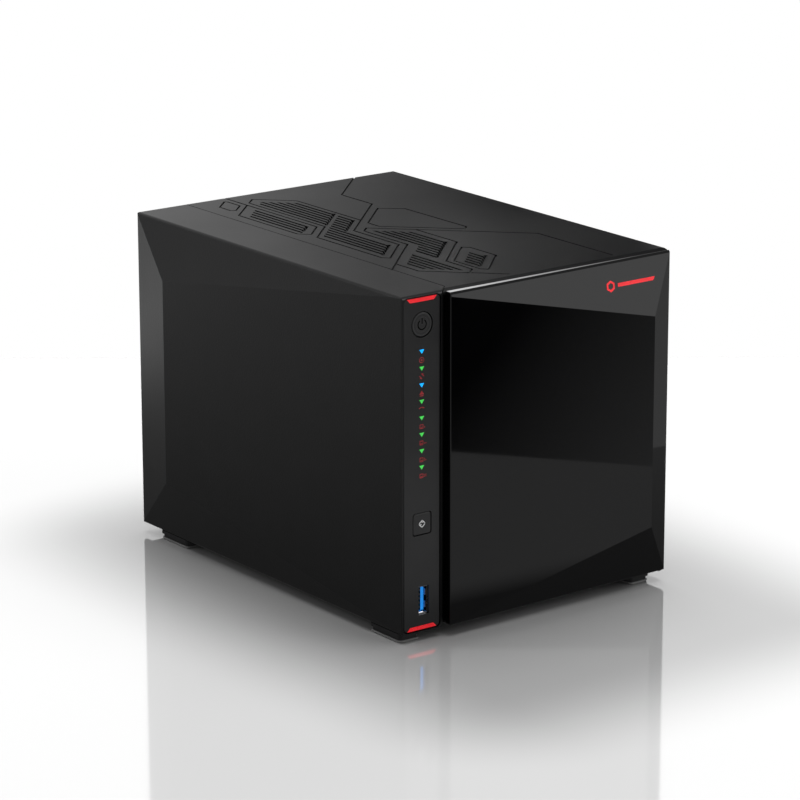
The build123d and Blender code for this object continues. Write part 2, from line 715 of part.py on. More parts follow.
# =====================================================================================
# Mainboard compartment on the left
# =====================================================================================
board_face = board_x + board_thickness
with BuildPart() as mainboard:
    block((board_x, -78.0, 16.0), (board_face, 110.4, 162.0))
    with BuildSketch(Plane.YZ.offset(board_x - 1)):
        with Locations((-70, 24), (-70, 154), (80, 24)):
            Circle(1.8)
    extrude(amount=4, mode=Mode.SUBTRACT)
finish(mainboard.part, "mainboard")

with BuildPart() as heatsink:
    block((board_face + 1.2, -30.0, 60.0), (board_face + 4.2, 20.0, 110.0))
    with BuildSketch(Plane.YZ.offset(board_face + 4.2)):
        with Locations((-5.0, 85.0)):
            with GridLocations(4.1, 50, 12, 1):
                Rectangle(1.3, 50)
    extrude(amount=10.0)
finish(heatsink.part, "heatsink")

with BuildPart() as processor:
    block((board_face, -16.0, 74.0), (board_face + 1.2, 8.0, 98.0))
finish(processor.part, "processor")

memory_heights = (128.0, 138.0)
with BuildPart() as memory_sockets:
    for z in memory_heights:
        block((board_face, -45.0, z - 2.4), (board_face + 7.0, 28.0, z + 2.4))
        block((board_face + 3.0, -43.6, z - 0.7), (board_face + 8.0, 26.6, z + 0.7), mode=Mode.SUBTRACT)
finish(memory_sockets.part, "memory_sockets")

with BuildPart() as memory_modules:
    for z in memory_heights:
        block((board_face + 3.2, -43.2, z - 0.6), (board_face + 21.0, 26.2, z + 0.6))
finish(memory_modules.part, "memory_modules")

# edge connector that joins the backplane to the mainboard, through the gap behind the cage
with BuildPart() as board_link:
    block((board_face, 60.2, 30.0), (-51.0, 66.0, 50.0))
finish(board_link.part, "board_link")

# ---- Rear sockets ----
jack_height, jack_width, jack_depth = 13.4, 16.0, 21.0
with BuildPart() as network_jacks:
    for z in network_z:
        block((board_face, rear_port_face - jack_depth, z - jack_width / 2),
              (board_face + jack_height, rear_port_face, z + jack_width / 2))
        # plug way, with a stepped latch slot on the side away from the board
        block((board_face + 2.2, rear_port_face - 13.0, z - 5.9),
              (board_face + 9.2, rear_port_face + 1, z + 5.9), mode=Mode.SUBTRACT)
        block((board_face + 9.2, rear_port_face - 11.0, z - 3.1),
              (board_face + 11.8, rear_port_face + 1, z + 3.1), mode=Mode.SUBTRACT)
finish(network_jacks.part, "network_jacks")

with BuildPart() as hdmi_port:
    with BuildSketch(facing_front(rear_port_face)):
        with Locations((port_x, hdmi_z)):
            Rectangle(5.6, 15.0)
    extrude(amount=11.0)
    with BuildSketch(facing_front(rear_port_face)):
        with Locations((port_x, hdmi_z)):
            Rectangle(4.6, 14.0)
    extrude(amount=8.5, mode=Mode.SUBTRACT)
    with BuildSketch(facing_front(rear_port_face - 8.5)):
        with Locations((port_x, hdmi_z)):
            Rectangle(1.2, 11.5)
    extrude(amount=-7.0)
finish(hdmi_port.part, "hdmi_port")

with BuildPart() as dc_jack:
    block((board_face, rear_port_face - 14.0, dc_z - 5.5), (board_face + 11.0, rear_port_face, dc_z + 5.5))
    with BuildSketch(facing_front(rear_port_face)):
        with Locations((board_face + 5.5, dc_z)):
            Circle(3.2)
    extrude(amount=10.0, mode=Mode.SUBTRACT)
    with BuildSketch(facing_front(rear_port_face - 10.0)):
        with Locations((board_face + 5.5, dc_z)):
            Circle(1.0)
    extrude(amount=-8.6)
finish(dc_jack.part, "dc_jack")

with BuildPart() as reset_button:
    with BuildSketch(facing_front(panel_face_y + 0.4)):
        with Locations((port_x, reset_z)):
            Circle(1.5)
    extrude(amount=6.0)
finish(reset_button.part, "reset_button")

# ---- Leads: a flat ribbon from the front board, and the fan's lead ----
ribbon_z, ribbon_width, ribbon_thickness = 112.0, 16.0, 0.6
lead_start, lead_middle, lead_end = (-48.2, 92.5, 60.0), (-60.0, 92.5, 51.0), (-72.4, 92.5, 56.0)
lead_radius = 1.2
with BuildPart() as internal_leads:
    block((-68.2, front_board_face + board_thickness, ribbon_z - 9.0), (-63.2, -94.0, ribbon_z + 9.0))
    with BuildSketch(Plane.XY.offset(ribbon_z - ribbon_width / 2)):
        outline([(-66.0, -94.0), (-66.0, -78.0), (-71.2, -70.0), (-71.2, -69.4),
                 (-66.0 + ribbon_thickness, -77.6), (-66.0 + ribbon_thickness, -94.0)])
    extrude(amount=ribbon_width)
    block((board_face, -74.0, ribbon_z - 9.0), (-71.2, -66.0, ribbon_z + 9.0))
    with BuildLine() as lead_path:
        ThreePointArc(lead_start, lead_middle, lead_end)
    with BuildSketch(Plane(origin=lead_start, z_dir=lead_path.line % 0)):
        Circle(lead_radius)
    sweep(path=lead_path.line)
    block((board_face, 89.0, 52.0), (-72.2, 96.0, 59.6))
finish(internal_leads.part, "internal_leads")

# ---- Rear panel ----
fan_x, fan_z = fan_centre
half_pitch = fan_screw_pitch / 2
fan_screw_places = [(fan_x + a * half_pitch, fan_z + b * half_pitch) for a in (-1, 1) for b in (-1, 1)]
case_screw_places = [(x, z) for x in (-73.0, -49.5, 73.0) for z in (13.5, 162.6)]
screw_clearance = 1.8
with BuildPart() as rear_panel:
    with BuildSketch(facing_front(panel_face_y)):
        with Locations((0, 88.0)):
            Rectangle(157.4, 158.6)
        with Locations(*[(port_x, z) for z in rear_usb_z]):
            RectangleRounded(usb_height + 0.6, usb_width + 0.6, 0.8, mode=Mode.SUBTRACT)
        with Locations(*[(board_face + jack_height / 2, z) for z in network_z]):
            Rectangle(jack_height + 0.6, jack_width + 0.6, mode=Mode.SUBTRACT)
        with Locations((port_x, hdmi_z)):
            Rectangle(6.2, 15.6, mode=Mode.SUBTRACT)
        with Locations((board_face + 5.5, dc_z)):
            Rectangle(11.6, 11.6, mode=Mode.SUBTRACT)
        with Locations((port_x, reset_z)):
            Circle(1.7, mode=Mode.SUBTRACT)
        with Locations((port_x, 24.0)):
            RectangleRounded(3.2, 7.2, 0.8, mode=Mode.SUBTRACT)
        with Locations(*fan_screw_places, *case_screw_places):
            Circle(screw_clearance, mode=Mode.SUBTRACT)
        # fan grille: a honeycomb of round-ended holes inside the fan's circle
        for column in range(-8, 9):
            for row in range(-8, 9):
                x = column * 6.8
                z = row * 7.85 + (3.925 if column % 2 else 0.0)
                if 18.0 ** 2 < x * x + z * z < 54.5 ** 2:
                    with Locations((fan_x + x, fan_z + z)):
                        RegularPolygon(3.3, 6, major_radius=False, mode=Mode.SUBTRACT)
    extrude(amount=sheet)
finish(rear_panel.part, "rear_panel")

recess_length, recess_width, recess_depth = 3.0, 0.8, 1.1


def cross_recess():
    """The two crossed slots in a screw's head."""
    Rectangle(recess_length, recess_width)
    Rectangle(recess_width, recess_length)


with BuildPart() as fan_screws:
    with BuildSketch(facing_front(panel_face_y + 1.8)):
        with Locations(*fan_screw_places):
            Circle(3.6)
    extrude(amount=1.8)
    chamfer(fan_screws.edges().group_by(Axis.Y)[-1], length=0.6)
    with BuildSketch(facing_front(panel_face_y)):
        with Locations(*fan_screw_places):
            Circle(1.5)
    extrude(amount=9.0)
    with BuildSketch(facing_front(panel_face_y + 1.8)):
        with Locations(*fan_screw_places):
            cross_recess()
    extrude(amount=recess_depth, mode=Mode.SUBTRACT)
finish(fan_screws.part, "fan_screws")

with BuildPart() as case_screws:
    with BuildSketch(facing_front(panel_face_y + 1.6)):
        with Locations(*case_screw_places):
            Circle(3.0)
    extrude(amount=1.6)
    chamfer(case_screws.edges().group_by(Axis.Y)[-1], length=0.5)
    with BuildSketch(facing_front(panel_face_y)):
        with Locations(*case_screw_places):
            Circle(1.4)
    extrude(amount=5.0)
    with BuildSketch(facing_front(panel_face_y + 1.6)):
        with Locations(*case_screw_places):
            cross_recess()
    extrude(amount=recess_depth, mode=Mode.SUBTRACT)
finish(case_screws.part, "case_screws")

# ---- Fan ----
fan_back = fan_front + fan_depth
hub_radius, blade_reach, duct_radius = 20.0, 56.0, 57.5
blade_count = 7
with BuildPart() as fan_frame:
    with BuildSketch(facing_front(fan_back)):
        with Locations(fan_centre):
            RectangleRounded(fan_width, fan_width, 6.0)
            Circle(duct_radius, mode=Mode.SUBTRACT)
        with Locations(*fan_screw_places):
            Circle(1.7, mode=Mode.SUBTRACT)
    extrude(amount=fan_depth)
    # outer waist between the two flanges
    with BuildSketch(facing_front(fan_back - 4.0)):
        with Locations(fan_centre):
            Rectangle(fan_width + 2, fan_width + 2)
            Circle(duct_radius + 2.0, mode=Mode.SUBTRACT)
    extrude(amount=fan_depth - 8.0, mode=Mode.SUBTRACT)
    # motor mount on four struts, at the rear
    with BuildSketch(facing_front(fan_back)):
        with Locations(fan_centre):
            Circle(hub_radius)
            for turn in (45, 135):
                Rectangle(2 * duct_radius + 1, 3.4, rotation=turn)
    extrude(amount=3.0)
finish(fan_frame.part, "fan_frame")

with BuildPart() as fan_rotor:
    with BuildSketch(facing_front(fan_back - 3.6)):
        with Locations(fan_centre):
            Circle(hub_radius)
    extrude(amount=fan_depth - 5.0)
    fillet(fan_rotor.edges().group_by(Axis.Y)[0], radius=1.5)
    for k in range(blade_count):
        turn = k * 360.0 / blade_count
        blade_plane = Plane(origin=(fan_x, (fan_front + fan_back) / 2, fan_z),
                            x_dir=Vector(1, 0, 0).rotate(Axis.Y, turn), z_dir=(0, -1, 0))
        outward = blade_plane.x_dir
        with BuildSketch(Plane(origin=blade_plane.origin + outward * (hub_radius - 1.5),
                               x_dir=(0, 1, 0), z_dir=outward)):
            Rectangle(19.0, 1.5, rotation=42)
        with BuildSketch(Plane(origin=blade_plane.origin + outward * blade_reach,
                               x_dir=(0, 1, 0), z_dir=outward)):
            with Locations((0, 9.0)):
                Rectangle(24.0, 1.5, rotation=58)
        loft()
    # trim the blade ends to the swept disc
    with BuildSketch(facing_front(fan_back - 3.6)):
        with Locations(fan_centre):
            Circle(blade_reach)
    extrude(amount=fan_depth - 4.4, mode=Mode.INTERSECT)
finish(fan_rotor.part, "fan_rotor")
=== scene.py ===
import json
from math import cos, pi, radians, sin

import bpy
import bmesh
from mathutils import Matrix, Vector


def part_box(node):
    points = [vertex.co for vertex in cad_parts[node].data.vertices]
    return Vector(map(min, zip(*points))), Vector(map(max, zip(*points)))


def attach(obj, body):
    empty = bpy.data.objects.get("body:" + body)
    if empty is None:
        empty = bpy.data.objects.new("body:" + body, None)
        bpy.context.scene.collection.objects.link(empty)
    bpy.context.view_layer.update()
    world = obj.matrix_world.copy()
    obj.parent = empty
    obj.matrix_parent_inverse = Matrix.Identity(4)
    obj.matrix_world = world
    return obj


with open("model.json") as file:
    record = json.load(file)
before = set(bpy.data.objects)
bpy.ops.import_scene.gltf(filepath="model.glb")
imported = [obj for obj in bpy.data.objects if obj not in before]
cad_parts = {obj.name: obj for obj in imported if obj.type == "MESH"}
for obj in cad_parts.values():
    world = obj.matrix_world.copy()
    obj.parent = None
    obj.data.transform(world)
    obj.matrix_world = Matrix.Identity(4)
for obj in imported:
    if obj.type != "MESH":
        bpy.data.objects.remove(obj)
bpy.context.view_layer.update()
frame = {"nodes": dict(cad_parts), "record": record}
nodes = frame["nodes"]
record = frame["record"]
MM = 0.001
MAP_INPUTS = ("From Min", "From Max", "To Min", "To Max")


# ---------------------------------------------------------------- materials
# the part of a noise texture's values that is spread over a whole variation
NOISE_RANGE = (0.3, 0.7)


class Shader:
    """A Principled material whose colour, roughness and bump come from procedural noise in object space."""

    def __init__(self, name, color, roughness, metallic=0.0, specular=0.5, coat=0.0, coat_roughness=0.05):
        self.material = bpy.data.materials.new(name)
        self.material.use_nodes = True
        self.tree = self.material.node_tree
        self.bsdf = self.tree.nodes["Principled BSDF"]
        self.color, self.roughness = color, roughness
        self.bsdf.inputs["Base Color"].default_value = (*color, 1.0)
        self.bsdf.inputs["Roughness"].default_value = roughness
        self.bsdf.inputs["Metallic"].default_value = metallic
        self.bsdf.inputs["Specular IOR Level"].default_value = specular
        self.bsdf.inputs["Coat Weight"].default_value = coat
        self.bsdf.inputs["Coat Roughness"].default_value = coat_roughness
        self.place = self.node("ShaderNodeTexCoord").outputs["Object"]
        self.last_normal = None

    def node(self, kind, **inputs):
        made = self.tree.nodes.new(kind)
        for key, value in inputs.items():
            made.inputs[key.replace("_", " ")].default_value = value
        return made

    def link(self, a, b):
        self.tree.links.new(a, b)

    def noise(self, scale, detail=2.0, stretch=None):
        place = self.place
        if stretch:
            mapping = self.node("ShaderNodeMapping")
            mapping.inputs["Scale"].default_value = stretch
            self.link(place, mapping.inputs["Vector"])
            place = mapping.outputs["Vector"]
        texture = self.node("ShaderNodeTexNoise", Scale=scale, Detail=detail)
        self.link(place, texture.inputs["Vector"])
        return texture.outputs["Fac"]

    def ramp(self, factor, low, high, start=NOISE_RANGE[0], end=NOISE_RANGE[1]):
        ramp = self.tree.nodes.new("ShaderNodeValToRGB")
        ramp.color_ramp.elements[0].position = start
        ramp.color_ramp.elements[1].position = end
        ramp.color_ramp.elements[0].color = low
        ramp.color_ramp.elements[1].color = high
        self.link(factor, ramp.inputs["Fac"])
        return ramp.outputs["Color"]

    def vary_color(self, factor, amount):
        low = (*(c * (1 - amount) for c in self.color), 1.0)
        high = (*(min(1.0, c * (1 + amount)) for c in self.color), 1.0)
        self.link(self.ramp(factor, low, high), self.bsdf.inputs["Base Color"])
        return self

    def vary_roughness(self, factor, amount):
        mapped = self.node("ShaderNodeMapRange")
        lowest, highest = max(0.0, self.roughness - amount), min(1.0, self.roughness + amount)
        for key, number in zip(MAP_INPUTS, (*NOISE_RANGE, lowest, highest)):
            mapped.inputs[key].default_value = number
        self.link(factor, mapped.inputs["Value"])
        self.link(mapped.outputs["Result"], self.bsdf.inputs["Roughness"])
        return self

    def bump(self, factor, height, strength=1.0):
        made = self.node("ShaderNodeBump", Strength=strength, Distance=height)
        self.link(factor, made.inputs["Height"])
        if self.last_normal:
            self.link(self.last_normal, made.inputs["Normal"])
        self.last_normal = made.outputs["Normal"]
        self.link(self.last_normal, self.bsdf.inputs["Normal"])
        return self

    def mix_out(self, factor, first, second):
        """Make a mix of two shaders the material's surface."""
        mix = self.tree.nodes.new("ShaderNodeMixShader")
        self.link(factor, mix.inputs["Fac"])
        self.link(first, mix.inputs[1])
        self.link(second, mix.inputs[2])
        self.link(mix.outputs["Shader"], self.tree.nodes["Material Output"].inputs["Surface"])

    def glow(self, color, strength):
        self.bsdf.inputs["Emission Color"].default_value = (*color, 1.0)
        self.bsdf.inputs["Emission Strength"].default_value = strength
        return self


def moulded(name, color, roughness, grain=1100.0, height=0.00005, specular=0.5):
    """Injection-moulded plastic: spark-eroded grain, faint mottling and a slightly uneven sheen."""
    shader = Shader(name, color, roughness, specular=specular)
    shader.vary_color(shader.noise(60.0), 0.12)
    shader.vary_roughness(shader.noise(25.0, 3.0), 0.012)
    shader.bump(shader.noise(grain, 1.0), height)
    return shader.material


def sheet_metal(name, color, roughness, stretch):
    """Plated or brushed sheet, with fine lines along one direction."""
    shader = Shader(name, color, roughness, metallic=1.0)
    lines = shader.noise(90.0, 4.0, stretch=stretch)
    shader.vary_color(shader.noise(35.0, 3.0), 0.1)
    shader.vary_roughness(lines, 0.1)
    shader.bump(lines, 0.00001)
    return shader.material


def powder_coat(name, color):
    shader = Shader(name, color, 0.5)
    shader.vary_color(shader.noise(80.0), 0.1)
    shader.bump(shader.noise(900.0, 2.0), 0.00006)
    return shader.material


def gloss_black(name):
    """Piano-black moulding with a very faint flow in its surface."""
    shader = Shader(name, (0.0012, 0.0012, 0.0014), 0.035, specular=0.5)
    shader.vary_color(shader.noise(12.0), 0.2)
    shader.vary_roughness(shader.noise(40.0, 3.0), 0.012)
    shader.bump(shader.noise(16.0, 1.0), 0.000004)
    return shader.material


def rubber(name, color):
    shader = Shader(name, color, 0.75)
    shader.vary_color(shader.noise(120.0), 0.15)
    shader.bump(shader.noise(700.0, 2.0), 0.00008)
    return shader.material


# plastic that glows: lamp light for the status lights and windows, painted light for accent_red and usb_blue
def lit_plastic(name, color, strength):
    shader = Shader(name, color, 0.3)
    shader.vary_color(shader.noise(300.0), 0.1)
    shader.vary_roughness(shader.noise(200.0), 0.05)
    return shader.glow(color, strength).material


def circuit_board(name):
    """Solder mask over copper: darker laminate with slightly raised tracks."""
    shader = Shader(name, (0.008, 0.045, 0.022), 0.35)
    tracks = shader.node("ShaderNodeTexBrick", Scale=160.0)
    shader.link(shader.place, tracks.inputs["Vector"])
    shader.vary_color(shader.noise(220.0, 4.0), 0.45)
    shader.vary_roughness(shader.noise(90.0), 0.08)
    shader.bump(tracks.outputs["Fac"], 0.00003)
    return shader.material


BLACK = (0.0048, 0.0048, 0.005)
# The lights glow. accent_red and usb_blue don't on the real part; their glow is painted light that only
# matches the photo.
RED_PAINTED_GLOW, USB_PAINTED_GLOW = 0.22, 0.42
BLUE_LIGHT_GLOW, GREEN_LIGHT_GLOW, WINDOW_GLOW = 0.9, 0.75, 0.1
FINE_GRAIN, FINE_HEIGHT = 1800.0, 0.00002
materials = {
    "case_plastic": moulded("case_plastic", BLACK, 0.36),
    "strip_plastic": moulded("strip_plastic", (0.017, 0.017, 0.0175), 0.34, FINE_GRAIN, FINE_HEIGHT),
    "button_plastic": moulded("button_plastic", (0.019, 0.019, 0.0195), 0.34, FINE_GRAIN, FINE_HEIGHT),
    "base_metal": powder_coat("base_metal", (0.02, 0.02, 0.021)),
    "rear_metal": powder_coat("rear_metal", (0.022, 0.022, 0.023)),
    "foot_plastic": moulded("foot_plastic", (0.012, 0.012, 0.0125), 0.42),
    "foot_rubber": rubber("foot_rubber", (0.22, 0.22, 0.22)),
    "accent_red": lit_plastic("accent_red", (0.95, 0.016, 0.026), RED_PAINTED_GLOW),
    "light_blue": lit_plastic("light_blue", (0.0, 0.36, 0.9), BLUE_LIGHT_GLOW),
    "light_green": lit_plastic("light_green", (0.05, 0.5, 0.07), GREEN_LIGHT_GLOW),
    "circuit_board": circuit_board("circuit_board"),
    "connector_black": moulded("connector_black", (0.012, 0.012, 0.012), 0.4),
    "cable_black": rubber("cable_black", (0.012, 0.012, 0.012)),
    "connector_metal": sheet_metal("connector_metal", (0.62, 0.62, 0.64), 0.28, (1, 1, 8)),
    "usb_blue": lit_plastic("usb_blue", (0.012, 0.3, 0.95), USB_PAINTED_GLOW),
    "door_gloss": gloss_black("door_gloss"),
    "inner_plastic": moulded("inner_plastic", (0.012, 0.012, 0.012), 0.5),
    "magnet_metal": sheet_metal("magnet_metal", (0.6, 0.6, 0.62), 0.2, (4, 1, 4)),
    "cage_steel": sheet_metal("cage_steel", (0.5, 0.51, 0.52), 0.38, (1, 12, 1)),
    "heatsink_metal": sheet_metal("heatsink_metal", (0.6, 0.6, 0.62), 0.35, (1, 1, 12)),
    "chip_black": moulded("chip_black", (0.014, 0.014, 0.015), 0.5),
    "screw_black": powder_coat("screw_black", (0.012, 0.012, 0.012)),
    "screw_steel": sheet_metal("screw_steel", (0.58, 0.58, 0.58), 0.3, (6, 1, 6)),
    "fan_plastic": moulded("fan_plastic", (0.013, 0.013, 0.014), 0.4),
    "tray_plastic": moulded("tray_plastic", (0.02, 0.02, 0.021), 0.4),
    "latch_plastic": moulded("latch_plastic", (0.04, 0.04, 0.042), 0.34),
    "drive_metal": sheet_metal("drive_metal", (0.45, 0.45, 0.46), 0.42, (2, 2, 2)),
}
for entry in record["subparts"]:
    mesh = nodes[entry["node"]].data
    mesh.materials.clear()
    mesh.materials.append(materials[entry["material_slot"]])


# ---------------------------------------------------------------- small pieces
SHARP_EDGE = radians(40)


class Placement:
    """Flat coordinates (u, v) on a surface, with w standing out of it, all in millimetres."""

    def __init__(self, origin, u_axis, v_axis):
        self.origin = Vector(origin)
        self.u, self.v = Vector(u_axis).normalized(), Vector(v_axis).normalized()
        self.w = self.u.cross(self.v)

    def at(self, u, v, w=0.0):
        return (self.origin + self.u * u + self.v * v + self.w * w) * MM


class Piece:
    """One new piece: closed prisms and rings gathered in a mesh, which rides on a body."""

    def __init__(self, name, placement, body, material, slot=None):
        self.name, self.place, self.body, self.material, self.slot = name, placement, body, material, slot
        self.mesh = bmesh.new()

    def prism(self, points, low, high, taper=0.0):
        """A closed prism on an outline given anticlockwise; taper draws its upper face in."""
        middle = sum((Vector(p) for p in points), Vector((0, 0))) / len(points)
        lower = [self.mesh.verts.new(self.place.at(*p, low)) for p in points]
        upper = [self.mesh.verts.new(self.place.at(*(Vector(p).lerp(middle, taper)), high)) for p in points]
        self.mesh.faces.new(lower[::-1])
        self.mesh.faces.new(upper)
        for k in range(len(points)):
            j = (k + 1) % len(points)
            self.mesh.faces.new((lower[k], lower[j], upper[j], upper[k]))

    def bar(self, u, v, width, height, low, high, turn=0.0, taper=0.0):
        corners = [(-1, -1), (1, -1), (1, 1), (-1, 1)]
        middle, spin = Vector((u, v)), Matrix.Rotation(radians(turn), 2)
        outline = [tuple(middle + spin @ Vector((a * width / 2, b * height / 2))) for a, b in corners]
        self.prism(outline, low, high, taper)

    def disc(self, u, v, radius, low, high, sides=24, taper=0.0, turn=0.0):
        angles = [2 * pi * k / sides + radians(turn) for k in range(sides)]
        self.prism([(u + radius * cos(a), v + radius * sin(a)) for a in angles], low, high, taper)

    def ring(self, u, v, outer, inner, low, high, start=0.0, sweep=360.0, sides=48):
        """A flat ring, or an arc of one, with square edges."""
        whole = sweep >= 360.0
        count = sides if whole else sides + 1
        angles = [radians(start + sweep * k / sides) for k in range(count)]
        loops = [[self.mesh.verts.new(self.place.at(u + r * cos(a), v + r * sin(a), w)) for a in angles]
                 for r, w in ((inner, low), (outer, low), (outer, high), (inner, high))]
        for k in range(sides):
            j = (k + 1) % count
            for a in range(4):
                b = (a + 1) % 4
                self.mesh.faces.new((loops[a][k], loops[a][j], loops[b][j], loops[b][k]))
        if not whole:
            self.mesh.faces.new([loop[0] for loop in loops])
            self.mesh.faces.new([loop[-1] for loop in loops][::-1])

    def done(self, bevel=0.0):
        bmesh.ops.recalc_face_normals(self.mesh, faces=self.mesh.faces)
        if bevel:
            sharp = [e for e in self.mesh.edges if e.is_manifold and e.calc_face_angle(0) > SHARP_EDGE]
            bmesh.ops.bevel(self.mesh, geom=sharp, offset=bevel * MM, segments=2, affect="EDGES",
                            clamp_overlap=True)
        data = bpy.data.meshes.new(self.name)
        self.mesh.to_mesh(data)
        self.mesh.free()
        data.materials.append(self.material)
        made = bpy.data.objects.new(self.name, data)
        bpy.context.scene.collection.objects.link(made)
        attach(made, self.body)
        return made


# the two flat directions of each side of a node; together they give the way out of it
SIDES = {"front": ((1, 0, 0), (0, 0, 1)), "rear": ((-1, 0, 0), (0, 0, 1)), "right": ((0, 1, 0), (0, 0, 1)),
         "left": ((0, -1, 0), (0, 0, 1)), "top": ((1, 0, 0), (0, 1, 0)), "bottom": ((-1, 0, 0), (0, 1, 0))}


def face_of(node, side):
    """Flat coordinates in the middle of one side of a node."""
    low, high = (Vector(c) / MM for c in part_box(node))
    place = Placement((low + high) / 2, *SIDES[side])
    place.origin = place.origin + place.w * abs((high - low).dot(place.w)) / 2
    return place


print_red = moulded("print_red", (0.42, 0.02, 0.025), 0.5)
print_grey = moulded("print_grey", (0.75, 0.75, 0.75), 0.45)
gold = sheet_metal("contact_gold", (0.8, 0.5, 0.2), 0.3, (1, 6, 1))
# painted shade: near-black with almost no gloss, for grooves and recesses where shade falls
painted_shade_black = moulded("painted_shade_black", (0.0008, 0.0008, 0.0008), 0.6, specular=0.05)
# painted highlight: a lighter grey for edges that catch the light
painted_highlight_grey = moulded("painted_highlight_grey", (0.045, 0.045, 0.046), 0.4)
label_white = moulded("label_white", (0.55, 0.55, 0.56), 0.5)
spring_metal = sheet_metal("spring_metal", (0.85, 0.85, 0.88), 0.35, (1, 1, 8))
spring_tint = sheet_metal("spring_tint", (0.42, 0.42, 0.52), 0.5, (1, 1, 8))
window_amber = lit_plastic("window_amber", (0.5, 0.22, 0.02), WINDOW_GLOW)
window_green = lit_plastic("window_green", (0.05, 0.35, 0.06), WINDOW_GLOW)
capacitor_metal = sheet_metal("capacitor_metal", (0.6, 0.6, 0.62), 0.3, (4, 4, 1))
header_white = moulded("header_white", (0.5, 0.49, 0.45), 0.45)

# the power button's engraved symbol: each line is dark painted shade standing for the groove, edged with a
# lighter painted highlight, inside a faint ring of painted highlight
button_face = face_of("power_button", "front")
ring = Piece("power_ring_highlight", button_face, "power_button", painted_highlight_grey)
ring.ring(0, 0, 5.3, 4.95, -0.1, 0.04)
ring.ring(0, 0, 3.75, 3.5, -0.1, 0.04)
ring.done()
for name, material, grow, lift in (("power_symbol_highlight", painted_highlight_grey, 0.25, 0.03),
                                   ("power_symbol_shade", painted_shade_black, 0.0, 0.06)):
    mark = Piece(name, button_face, "power_button", material)
    mark.ring(0, 0, 2.75 + grow, 2.0 - grow, -0.1, lift, start=125, sweep=290)
    mark.bar(0, 1.7, 0.75 + 2 * grow, 2.9 + 2 * grow, -0.1, lift)
    mark.done()

# the copy button's symbol: a diamond of four strokes round a small arrow
mark = Piece("copy_mark", face_of("copy_button", "front"), "copy_button", print_grey)
for turn in (45, 135, 225, 315):
    way = Vector((cos(radians(turn)), sin(radians(turn))))
    mark.bar(*(way * 1.3), 0.5, 3.1, -0.1, 0.05, turn=turn)
mark.bar(0, 1.0, 0.5, 1.0, -0.1, 0.05)
mark.bar(-0.75, -0.35, 1.0, 0.4, -0.1, 0.05)
mark.done()

# printed icons beside the lights, at heights above the ground
lights_x = face_of("status_lights_green", "front").origin.x
strip = Placement((lights_x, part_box("control_panel")[0][1] / MM, 0), (1, 0, 0), (0, 0, 1))
icons = Piece("strip_icons", strip, "case", print_red)
LOW, HIGH = -0.05, 0.025
RING_Z, ARROWS_Z, WAVE_Z = 138.3, 130.5, 115.2
DRIVE_ICONS_Z = (106.0, 98.1, 89.8, 81.9)
icons.ring(0, RING_Z, 1.4, 1.15, LOW, HIGH, sides=24)
icons.disc(0, RING_Z, 0.42, LOW, HIGH, sides=16)
for s in (-1, 1):
    icons.bar(s * 0.75, ARROWS_Z + s * 0.35, 0.3, 1.7, LOW, HIGH, turn=50)
    icons.bar(s * 0.4, ARROWS_Z + s * 1.05, 1.3, 0.34, LOW, HIGH, turn=-20)
icons.prism([(-1.4, 121.6), (1.4, 121.6), (0, 123.5)], LOW, HIGH)
icons.bar(0, 121.0, 2.2, 0.4, LOW, HIGH)
icons.bar(-0.9, WAVE_Z, 1.5, 0.4, LOW, HIGH, turn=25)
icons.bar(0.7, WAVE_Z, 1.8, 0.4, LOW, HIGH, turn=-20)
for count, z in enumerate(DRIVE_ICONS_Z, start=1):
    for s in (-1, 1):
        icons.bar(-0.1, z + s * 0.9, 2.0, 0.32, LOW, HIGH)
        icons.bar(-0.1 + s * 0.9, z, 0.32, 1.5, LOW, HIGH)
    icons.bar(-0.1, z - 0.3, 1.0, 0.3, LOW, HIGH)
    for dot in range(count):
        icons.disc(1.7 + 0.8 * (dot % 2), z - 0.4 + 0.8 * (dot // 2), 0.26, LOW, HIGH, sides=12)
icons.done()

# A plain red badge on the door's upper facet: a nut-shaped outline and a slim bar
door_low, door_high = (Vector(c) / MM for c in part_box("door_panel"))
CREST = Vector((68.4, door_low.y, 139.0))
facet_left = Vector((door_low.x, -112.8, door_high.z - 1.8))
facet_right = Vector((door_high.x, -110.0, door_high.z))
out_of_facet = (CREST - facet_left).cross(facet_right - facet_left).normalized()
if out_of_facet.y > 0:
    out_of_facet.negate()
BADGE_X, BADGE_Z = 55.0, 157.5
depth = out_of_facet.dot(CREST - Vector((BADGE_X, 0, BADGE_Z))) / out_of_facet.y
across = Vector((1, 0, 0))
across = (across - out_of_facet * across.dot(out_of_facet)).normalized()
facet = Placement((BADGE_X, depth, BADGE_Z), across, out_of_facet.cross(across))
badge = Piece("door_badge", facet, "door", materials["accent_red"], "accent_red")
badge.ring(-13.2, 0, 2.9, 1.7, -0.2, 0.12, start=30, sides=6)
badge.prism([(-8.6, -0.9), (14.0, -0.9), (15.2, 0.9), (-8.6, 0.9)], -0.2, 0.12)
badge.done(bevel=0.05)


# ---- sockets ----
port_low, port_high = (Vector(c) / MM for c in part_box("usb_tongues"))
FRONT_USB, REAR_USB_X, REAR_USB_Z = (-68.3, 20.0), -68.4, (135.0, 117.0)
TONGUE_HALF = 0.85
FRONT_TONGUE, REAR_TONGUE = 0.6, -1.05


def usb_contacts(name, face_x, opening_y, z, inward):
    """Five gold fingers in a black bed on one face of a tongue, running inwards from its tip."""
    place = Placement((face_x, opening_y, z), (0, inward, 0), (0, 0, -1))
    bed = Piece(name.replace("contacts", "bed"), place, "case",
                materials["connector_black"], "connector_black")
    bed.bar(4.1, 0, 7.8, 11.6, -0.05, 0.06, taper=0.01)
    bed.done(bevel=0.02)
    fingers = Piece(name, place, "case", gold)
    for k in range(5):
        fingers.bar(3.7, (k - 2) * 2.1, 6.6, 1.1, 0.0, 0.13, taper=0.05)
    fingers.done(bevel=0.03)


